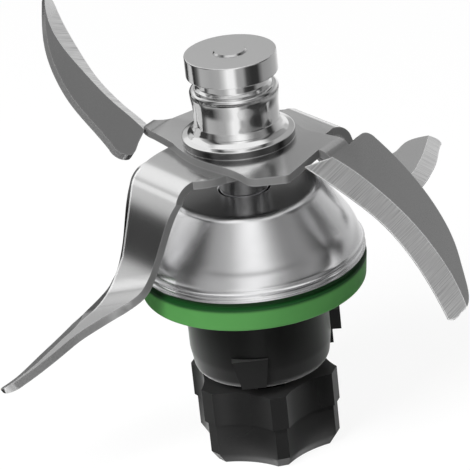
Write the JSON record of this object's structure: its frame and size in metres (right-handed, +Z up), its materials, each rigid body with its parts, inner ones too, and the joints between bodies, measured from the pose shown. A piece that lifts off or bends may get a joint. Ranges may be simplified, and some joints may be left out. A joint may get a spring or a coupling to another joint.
{
  "type": "blender blade assembly",
  "caption": "Cutting unit for the foot of a blender bowl: bent steel knives clamped under a turned hub, domed cover, green seal ring, bearing housing and lobed drive coupling.",
  "frame": {"origin": "centre of the drive coupling's underside, on the spin axis", "axes": "+Z up along the spin axis toward the hub's cap; -Y toward the front key of the bearing housing"},
  "size_m": [0.1126, 0.0684, 0.1068],
  "materials": {
    "polished_steel": "polished",
    "blade_steel": "polished faces, ground bevels",
    "bearing_steel": "ground",
    "ball_steel": "polished",
    "spring_steel": "oiled",
    "shield_steel": "zinc plated",
    "bronze": "sintered",
    "cage_nylon": "matte",
    "black_rubber": "matte",
    "green_silicone": "satin",
    "black_moulding": "gloss",
    "black_coupling": "gloss"
  },
  "bodies": {
    "housing": {"dome_cover": "polished_steel", "dome_gasket": "black_rubber", "seal_ring": "green_silicone", "bearing_housing": "black_moulding", "bearing_sleeve": "bearing_steel", "bearing_circlip": "spring_steel", "preload_spring": "spring_steel", "lower_outer_ring": "bearing_steel", "upper_outer_ring": "bearing_steel", "lower_bearing_shields": "shield_steel", "upper_bearing_shields": "shield_steel", "lip_seal_case": "shield_steel", "lip_seal": "black_rubber", "lip_seal_spring": "spring_steel"},
    "knife_rotor": {"drive_shaft": "bearing_steel", "hub_sleeve": "polished_steel", "upper_blade": "blade_steel", "lower_blade": "blade_steel", "blade_collar": "polished_steel", "lower_inner_ring": "bearing_steel", "upper_inner_ring": "bearing_steel", "lower_bearing_balls": "ball_steel", "upper_bearing_balls": "ball_steel", "lower_ball_cage": "cage_nylon", "upper_ball_cage": "cage_nylon", "inner_spacer": "shield_steel", "thrust_washer": "bronze", "drive_coupling": "black_coupling", "coupling_insert": "shield_steel", "coupling_washer": "shield_steel", "coupling_nut": "shield_steel"}
  },
  "joints": [
    {"name": "knife_spin", "type": "hinge", "parent": "housing", "child": "knife_rotor", "pos_m": [0, 0, 0], "axis": [0, 0, 1], "continuous": true}
  ]
}
